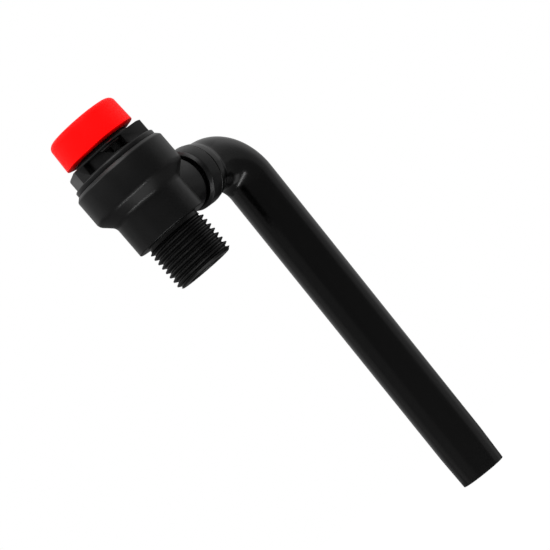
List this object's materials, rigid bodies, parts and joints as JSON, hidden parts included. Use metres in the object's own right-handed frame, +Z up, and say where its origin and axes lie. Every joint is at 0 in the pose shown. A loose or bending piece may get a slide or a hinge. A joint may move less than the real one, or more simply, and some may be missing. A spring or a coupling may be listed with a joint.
{
  "type": "safety relief valve",
  "caption": "Compact diaphragm safety relief valve with a threaded inlet, a turn-to-test knob on a cam crown and a long elbowed discharge pipe that swivels on the outlet.",
  "frame": {"origin": "centre of the inlet nipple's end face, on the valve's axis", "axes": "+Z up the valve's axis from the inlet to the knob; +X out along the outlet's axis; +Y completes the right-hand set"},
  "size_m": [0.0687, 0.0338, 0.1668],
  "materials": {
    "black_nylon": "fine matt moulded black, glass-filled",
    "black_acetal": "smooth satin black",
    "black_polypropylene": "smooth black with soft long reflections",
    "red_plastic": "smooth bright red",
    "rubber": "matt black rubber",
    "brass": "turned brass",
    "steel": "bright stainless steel"
  },
  "bodies": {
    "housing": {"valve_body": "black_nylon", "bonnet": "black_nylon", "slip_ring": "black_acetal", "diaphragm": "rubber", "spring": "steel", "upper_spring_plate": "steel", "spring_adjuster": "brass", "inner_o_ring": "rubber", "outer_o_ring": "rubber", "retaining_clip": "black_acetal"},
    "stem": {"seat_disc": "rubber", "disc_holder": "brass", "disc_washer": "steel", "disc_screw": "steel", "pressure_plate": "steel", "spindle": "brass", "knob_washer": "steel", "knob_screw": "steel"},
    "knob_set": {"knob": "red_plastic", "lifting_cam": "black_acetal"},
    "pipe_set": {"discharge_pipe": "black_polypropylene", "retaining_collar": "black_nylon"}
  },
  "joints": [
    {"name": "stem_lift", "type": "slide", "parent": "housing", "child": "stem", "axis": [0, 0, 1], "range_m": [0, 0.0024], "stiffness_N_per_m": 60, "springref_m": -0.005, "deforming": ["spring", "diaphragm"]},
    {"name": "knob_turn", "type": "hinge", "parent": "stem", "child": "knob_set", "pos_m": [0, 0, 0.0555], "axis": [0, 0, -1], "range_deg": [0, 36]},
    {"name": "pipe_swivel", "type": "hinge", "parent": "housing", "child": "pipe_set", "pos_m": [0.0252, 0, 0.0257], "axis": [1, 0, 0], "continuous": true}
  ],
  "couplings": [
    {"joint": "knob_turn", "follows": "stem_lift", "rad_per_m": 261.8}
  ]
}
